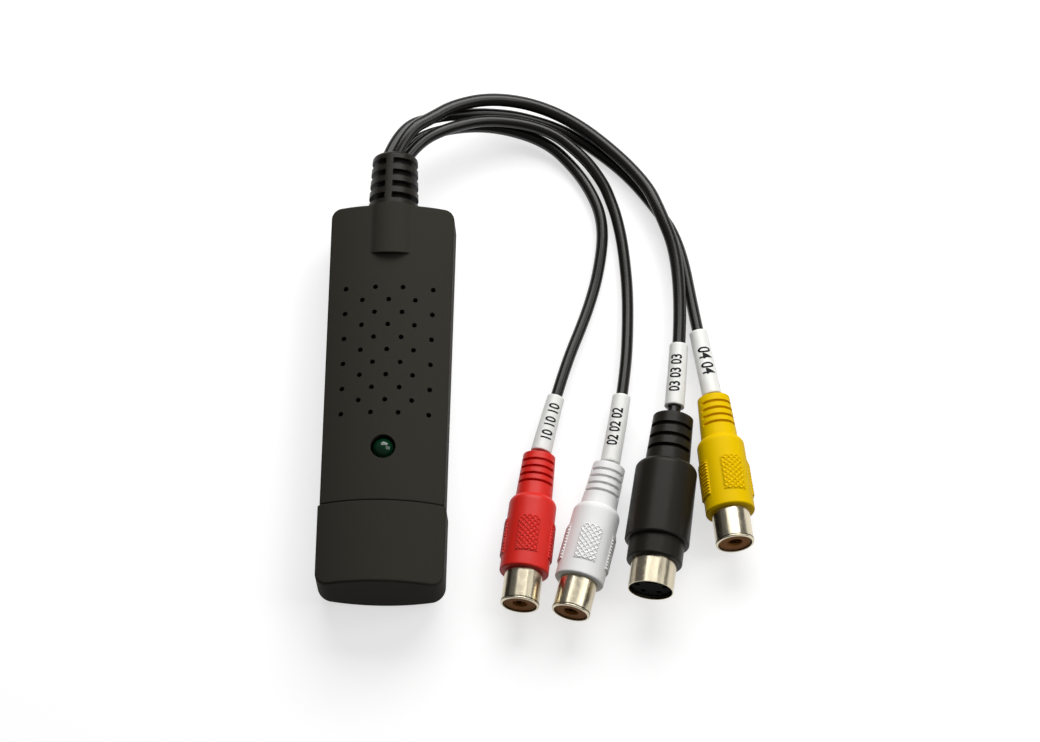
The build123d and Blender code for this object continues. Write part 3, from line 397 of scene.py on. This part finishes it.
def add_print(colour, line):
    figures, size, middle_angle, direction = PRINTS[colour]
    gap, length = SLEEVES[colour][:2]
    start = ENTRY + gap
    flat = flat_digits(figures, size)
    work = bmesh.new()
    work.from_mesh(flat)
    bpy.data.meshes.remove(flat)
    for cut in range(-PRINT_CUTS, PRINT_CUTS + 1):
        geometry = work.verts[:] + work.edges[:] + work.faces[:]
        height = (0, cut * PRINT_CUT_HEIGHT, 0)
        bmesh.ops.bisect_plane(work, geom=geometry, plane_co=height, plane_no=(0, 1, 0))
    bmesh.ops.triangulate(work, faces=work.faces[:])
    for vertex in work.verts:
        x, y, z = vertex.co
        distance = start + length / 2 + direction * x * PRINT_NARROW
        radius = sleeve_radius(colour, (distance - start) / length) + z + PRINT_THICKNESS / 2
        angle = math.radians(middle_angle) + direction * y / radius
        vertex.co = point_about(line.at(distance * MM), radius, angle)
    mesh = bpy.data.meshes.new(f"print_{colour}")
    work.to_mesh(mesh)
    work.free()
    piece = link_piece(f"print_{colour}", mesh, INK)
    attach(piece, "dongle")
    return piece


# Phono jacks: knurled grips, rolled rims and rings of painted shade

JACKS = {
    # middle of the mouth, then yaw, tilt and roll in degrees
    "red": ((30.28, -52.22, 6.891), -5.21, 4.0, 2.5),
    "white": ((41.35, -53.83, 6.891), -12.22, 4.0, 5.0),
    "yellow": ((76.71, -37.73, 7.549), 8.67, 6.0, 19.0),
}
GRIP_SPAN = (7.5, 23.5)  # behind the mouth, as the pads
GRIP_RADII = (5.4, 5.2)
PAD_SPAN = (10.9, 19.4)
PAD_RISE = 0.1
PAD_HALF_WIDTH = 2.45
PAD_CORNER_CUT = 0.8
PAD_FADE = 0.2  # width over which the ridges rise at the pad's edge
PAD_SINK = 0.03  # depth of the patch under the pad's face, between its ridges
PATCH_DEPTH = 0.2
TABLE_CLEARANCE = 0.02
LATTICE_ACROSS = 1.225
LATTICE_ALONG = 1.21
LATTICE_HEIGHT = 0.22
LATTICE_HALF_RIDGE = 0.22
LATTICE_STEEPNESS = 1.5  # 1 gives a sharp crest, and more than 1 a flat one
LATTICE_COLUMNS = 41
LATTICE_ROWS = 72
TOOTH_PITCH = 0.74
TOOTH_HEIGHT = 0.32
TOOTH_VALLEY = 0.25  # share of the pitch
TOOTH_FLANKS = 0.35  # share of the pitch
TOOTH_COLUMNS = [-2.45, -2.25, -1.5, -0.75, 0.0, 0.75, 1.5, 2.25, 2.45]
TOOTH_ROWS = 121
RIM = (0.24, 3.99, 0.25)  # ring: distance behind the mouth, radius and half its thickness
# Dark rings of painted shade, with the same columns: one behind the rim, one inside the mouth
SHADE_BEHIND_RIM = (0.58, 4.12, 0.11)
SHADE_IN_MOUTH = (0.33, 3.62, 0.12)
RING_AROUND = 96
RING_TUBE = 12


def jack_frame(colour):
    mouth, yaw, tilt, roll = JACKS[colour]
    turn = Matrix.Rotation(math.radians(yaw), 4, "Z") @ Matrix.Rotation(math.radians(-tilt), 4, "X")
    return Matrix.Translation(mouth) @ turn @ Matrix.Rotation(math.radians(roll), 4, "Y")


def limit(value):
    """The value, but at least 0 and at most 1."""
    return min(max(value, 0.0), 1.0)


def pad_edge_share(across, along):
    """0 at the pad's edge and 1 from a little way inside it."""
    front, rear = along - PAD_SPAN[0], PAD_SPAN[1] - along
    side = PAD_HALF_WIDTH - abs(across)
    corner = (side + rear - PAD_CORNER_CUT) / math.sqrt(2)
    return limit(min(front, rear, side, corner) / PAD_FADE)


def lattice(across, along):
    """Crossed ridges that leave small diamonds between them."""
    lines = (across / LATTICE_ACROSS + along / LATTICE_ALONG, across / LATTICE_ACROSS - along / LATTICE_ALONG)
    slope = math.hypot(1 / LATTICE_ACROSS, 1 / LATTICE_ALONG)
    distance = min(abs(value - round(value)) for value in lines) / slope
    return LATTICE_HEIGHT * limit(LATTICE_STEEPNESS - LATTICE_STEEPNESS * distance / LATTICE_HALF_RIDGE)


def teeth(across, along):
    """Ridges across the pad, the same from side to side."""
    turn = (along - PAD_SPAN[0]) / TOOTH_PITCH % 1.0
    return TOOTH_HEIGHT * limit((1 - abs(2 * turn - 1) - TOOTH_VALLEY) / TOOTH_FLANKS)


def spread(low, high, count):
    return [low + (high - low) * step / (count - 1) for step in range(count)]


def pad_skins(place, quarter, height, columns, rows):
    """Points of a pad's outer skin, with its ridges, and then of its inner skin."""
    outer, inner = [], []
    turn = place @ Matrix.Rotation(math.radians(90 * quarter), 4, "Y")
    for along in spread(*PAD_SPAN, rows):
        share = (along - GRIP_SPAN[0]) / (GRIP_SPAN[1] - GRIP_SPAN[0])
        radius = GRIP_RADII[0] + share * (GRIP_RADII[1] - GRIP_RADII[0]) + PAD_RISE
        for across in columns:
            angle = math.asin(across / radius)
            rise = height(across, along) * pad_edge_share(across, along) - PAD_SINK
            for skin, reach in ((outer, radius + rise), (inner, radius - PATCH_DEPTH)):
                point = turn @ Vector((reach * math.sin(angle), along, reach * math.cos(angle)))
                point.z = max(point.z, TABLE_CLEARANCE)
                skin.append(point * MM)
    return outer + inner


def skin_faces(width, rows):
    """Faces of two skins of points in rows, and of the strip that closes them round the edge."""
    count = width * rows
    faces = []
    for row in range(rows - 1):
        for column in range(width - 1):
            corner = row * width + column
            quad = (corner, corner + 1, corner + width + 1, corner + width)
            faces.append(quad[::-1])
            faces.append(tuple(count + vertex for vertex in quad))
    edge = list(range(width)) + [row * width + width - 1 for row in range(1, rows)]
    edge += [count - 1 - step for step in range(1, width)] + [row * width for row in range(rows - 2, 0, -1)]
    for a, b in zip(edge, edge[1:] + edge[:1]):
        faces.append((a, b, count + b, count + a))
    return faces


def add_knurl(colour):
    """The four pads' ridges: a lattice above and below, and teeth at the sides."""
    place = jack_frame(colour)
    lattice_columns = spread(-PAD_HALF_WIDTH, PAD_HALF_WIDTH, LATTICE_COLUMNS)
    patterns = [(lattice, lattice_columns, LATTICE_ROWS), (teeth, TOOTH_COLUMNS, TOOTH_ROWS)]
    vertices, faces = [], []
    for quarter in range(4):
        height, columns, rows = patterns[quarter % 2]
        for face in skin_faces(len(columns), rows):
            faces.append(tuple(len(vertices) + vertex for vertex in face))
        vertices += pad_skins(place, quarter, height, columns, rows)
    knurl = link_mesh(f"knurl_{colour}", vertices, faces, FINISHES[f"soft_{colour}"], smooth=False)
    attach(knurl, "dongle")
    return knurl


def add_ring(name, place, along, radius, thickness, material):
    """Round bead about a jack's axis: the rolled rim, or a ring of painted shade."""
    vertices = []
    for step in range(RING_AROUND):
        angle = 2 * math.pi * step / RING_AROUND
        for turn in range(RING_TUBE):
            phase = 2 * math.pi * turn / RING_TUBE
            reach = radius + thickness * math.cos(phase)
            y = along + thickness * math.sin(phase)
            vertices.append(place @ Vector((reach * math.sin(angle), y, reach * math.cos(angle))) * MM)
    ring = link_mesh(name, vertices, ring_strip(RING_AROUND, RING_TUBE), material)
    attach(ring, "dongle")
    return ring


def add_rim(colour):
    """Rolled rim of the barrel, with a dark ring of painted shade behind it and another in the mouth."""
    place = jack_frame(colour)
    rim = add_ring(f"rim_{colour}", place, *RIM, FINISHES["nickel"])
    behind = add_ring(f"rim_shade_{colour}", place, *SHADE_BEHIND_RIM, PAINTED_SHADE)
    inside = add_ring(f"mouth_shade_{colour}", place, *SHADE_IN_MOUTH, PAINTED_SHADE)
    return [rim, behind, inside]


# Each cord with its sleeve, its print and the jack at its end

PHONO_PARTS = ("boot", "barrel", "insulator", "contact")
SVIDEO_PARTS = ("boot", "shell", "insert", "contacts")

for colour in ROUTES:
    cord = add_cord(colour)
    line = Line(centreline(cord))
    riders = [add_sleeve(colour, line), add_print(colour, line)]
    jack_parts = PHONO_PARTS if colour in JACKS else SVIDEO_PARTS
    riders += [nodes[f"{colour}_{part}"] for part in jack_parts]
    if colour in JACKS:
        riders += [add_knurl(colour), *add_rim(colour)]


# Floor, background and lamps

FLOOR_HALF = 2.0
FLOOR_DROP = 0.0002
FLOOR_GREY = 0.25  # as it lights the object
SEEN_GREY = 0.5  # as it looks where a shadow lies
SEEN_GLOW = 0.63  # added, so that it looks white where it is lit
WORLD_STRENGTH = 0.12
LAMPS = {
    # place, target, size and power
    "key": ((0.06, 0.30, 0.36), (0.03, 0.0, 0.0), (0.5, 0.22), 1.68),
    "right": ((0.75, 0.05, 0.70), (0.03, 0.0, 0.0), (0.5, 0.8), 3.2),
    "back": ((0.10, 0.36, 0.24), (0.0, 0.05, 0.0), (0.4, 0.10), 0.75),
}


def diffuse(tree, grey):
    shader = tree.nodes.new("ShaderNodeBsdfDiffuse")
    shader.inputs["Color"].default_value = (grey, grey, grey, 1)
    return shader.outputs["BSDF"]


def add_floor():
    """Table that takes the object's shadow and looks white where it is lit, also in metal and glass."""
    material, tree, shader = new_material("floor")
    tree.nodes.remove(shader)
    glow = tree.nodes.new("ShaderNodeEmission")
    glow.inputs["Strength"].default_value = SEEN_GLOW
    looks = tree.nodes.new("ShaderNodeAddShader")
    tree.links.new(diffuse(tree, SEEN_GREY), looks.inputs[0])
    tree.links.new(glow.outputs["Emission"], looks.inputs[1])
    path = tree.nodes.new("ShaderNodeLightPath")
    seen = path.outputs["Is Camera Ray"]
    for ray in ("Is Glossy Ray", "Is Transmission Ray"):
        either = tree.nodes.new("ShaderNodeMath")
        either.operation = "MAXIMUM"
        tree.links.new(seen, either.inputs[0])
        tree.links.new(path.outputs[ray], either.inputs[1])
        seen = either.outputs["Value"]
    mix = tree.nodes.new("ShaderNodeMixShader")
    tree.links.new(seen, mix.inputs["Fac"])
    tree.links.new(diffuse(tree, FLOOR_GREY), mix.inputs[1])
    tree.links.new(looks.outputs["Shader"], mix.inputs[2])
    tree.links.new(mix.outputs["Shader"], tree.nodes["Material Output"].inputs["Surface"])
    half = FLOOR_HALF
    corners = [(-half, -half, 0), (half, -half, 0), (half, half, 0), (-half, half, 0)]
    floor = link_mesh("floor", corners, [(0, 1, 2, 3)], material, smooth=False)
    floor.location.z = -FLOOR_DROP


def add_lamp(name, place, target, size, power):
    data = bpy.data.lights.new(name, "AREA")
    data.shape = "RECTANGLE"
    data.size, data.size_y = size
    data.energy = power
    lamp = bpy.data.objects.new(name, data)
    lamp.location = place
    lamp.rotation_mode = "QUATERNION"
    lamp.rotation_quaternion = (Vector(target) - Vector(place)).to_track_quat("-Z", "Y")
    scene.collection.objects.link(lamp)


def set_world():
    world = bpy.data.worlds.new("world")
    world.use_nodes = True
    light = world.node_tree.nodes["Background"]
    light.inputs["Color"].default_value = (1, 1, 1, 1)
    light.inputs["Strength"].default_value = WORLD_STRENGTH
    scene.world = world


add_floor()
set_world()
for name, lamp in LAMPS.items():
    add_lamp(name, *lamp)
